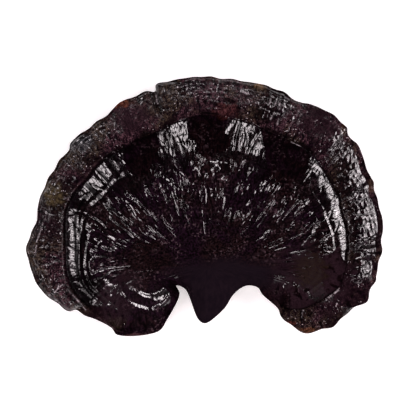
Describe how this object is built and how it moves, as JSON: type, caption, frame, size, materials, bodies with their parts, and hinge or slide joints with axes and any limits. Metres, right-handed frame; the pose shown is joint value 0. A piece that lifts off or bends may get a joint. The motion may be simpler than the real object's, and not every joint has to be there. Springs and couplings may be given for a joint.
{
  "type": "reishi mushroom",
  "caption": "Kidney-shaped bracket fungus with a glossy black ringed crust, a raised rim and a short slanted stem stub, lying on its flat pore face.",
  "frame": {"origin": "middle of the bounding box's base, on the surface that the pore face rests on", "axes": "+Z out of the lacquered upper face, -Y the way the stem points, +X across the cap to the right when the stem points at the viewer"},
  "size_m": [0.1594, 0.116, 0.018],
  "materials": {
    "mushroom": "hard, glossy, nearly black crust with a brown-purple sheen, finely wrinkled from the stem outwards; matt brown pore face and a corky brown cut"
  },
  "bodies": {
    "root": {"mushroom": "mushroom"}
  },
  "joints": []
}
